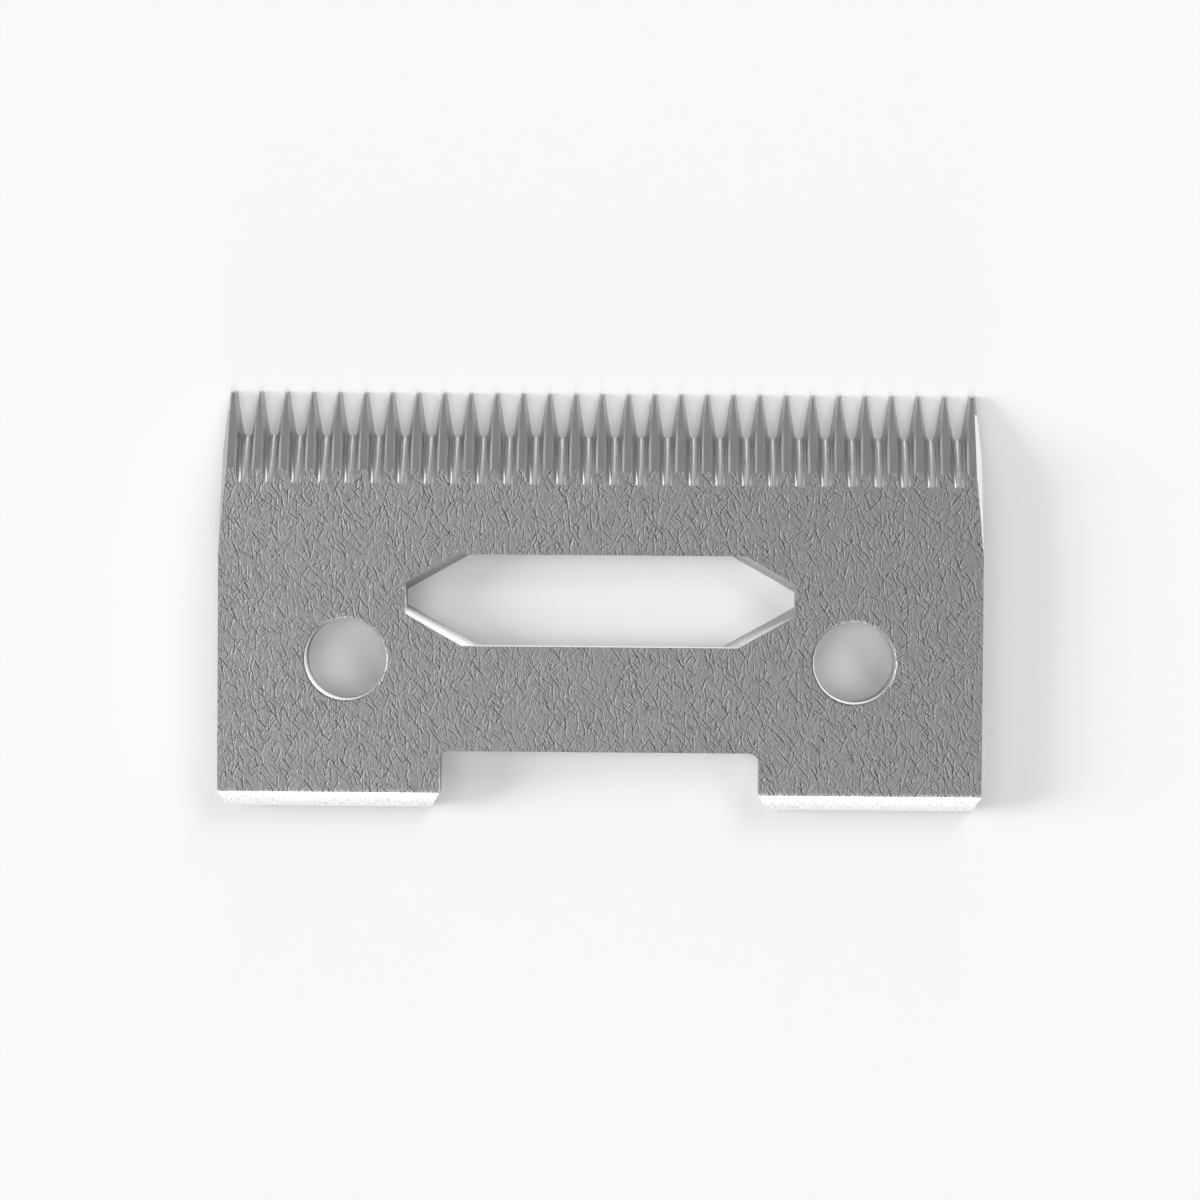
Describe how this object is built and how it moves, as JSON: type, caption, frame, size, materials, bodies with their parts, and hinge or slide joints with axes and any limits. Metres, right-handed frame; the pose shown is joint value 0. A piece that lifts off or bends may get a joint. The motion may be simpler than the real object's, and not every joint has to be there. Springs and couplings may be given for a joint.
{
  "type": "hair clipper blade",
  "caption": "Flat fixed comb blade of a hair clipper: ground teeth with V flutes along one edge, two screw holes, a long slot and a notch between two rear feet.",
  "frame": {"origin": "middle of the blade's box in plan, at the height of the flat inner (cutting) face", "axes": "+X along the row of teeth, +Y towards the tooth tips, +Z away from the inner face, out of the skin side"},
  "size_m": [0.046, 0.025, 0.0023],
  "materials": {
    "blade_steel": "matt textured skin side, ground teeth and flutes"
  },
  "bodies": {
    "root": {"fixed_blade": "blade_steel"}
  },
  "joints": []
}
